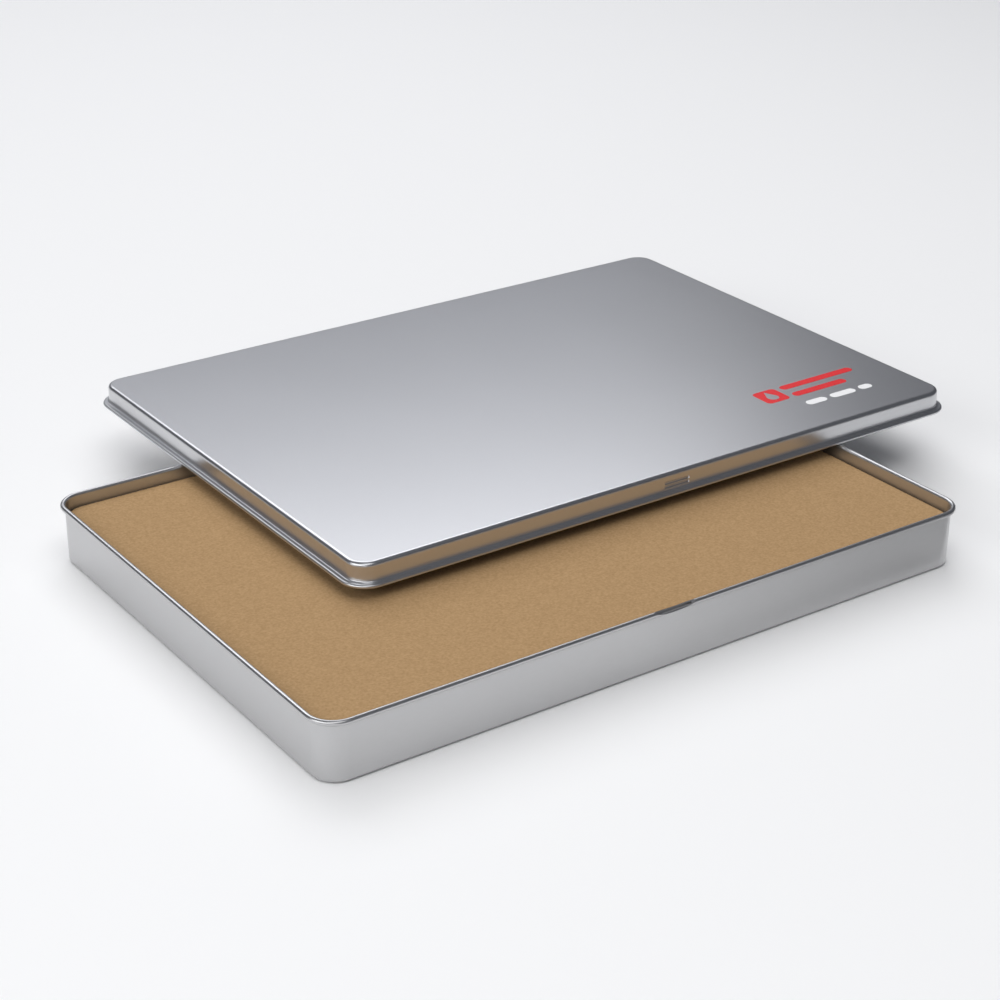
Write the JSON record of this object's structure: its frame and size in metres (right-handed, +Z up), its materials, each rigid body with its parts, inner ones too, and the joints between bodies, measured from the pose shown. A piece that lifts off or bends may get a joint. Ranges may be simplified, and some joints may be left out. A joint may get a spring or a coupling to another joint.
{
  "type": "ink pad",
  "caption": "Flat stamping ink pad: a cloth-covered felt pad in a rimmed metal tin tray, with a loose slip-over metal lid off it and set back on the rim.",
  "frame": {"origin": "middle of the tray's underside, on the surface the tin stands on", "axes": "+Z up; +X along the tray's length, to the right of someone facing the notch in the rim; +Y from the notched front side to the back"},
  "size_m": [0.2622, 0.2112, 0.0257],
  "materials": {
    "tinplate_tray": "satin tinplate with a fine rolling grain",
    "tinplate_lid": "satin tinplate with a fine rolling grain",
    "cover_cloth": "matte, fine close-woven cotton over felt, tan",
    "fine_felt": "matte wool felt",
    "thick_felt": "matte coarse felt",
    "board": "smooth brown hardboard",
    "foam_tape": "matte closed-cell foam",
    "red_print": "satin printed lacquer",
    "white_print": "satin printed lacquer"
  },
  "bodies": {
    "tin": {"tray": "tinplate_tray", "pad_cloth": "cover_cloth", "surface_felt": "fine_felt", "reservoir_felt": "thick_felt", "backing_board": "board", "mounting_tape": "foam_tape"},
    "lid": {"lid": "tinplate_lid", "lid_badge": "red_print", "lid_legend": "white_print"}
  },
  "joints": [
    {"name": "lid_lift", "type": "slide", "parent": "tin", "child": "lid", "axis": [0, 0, 1], "range_m": [0, 0.08]}
  ]
}
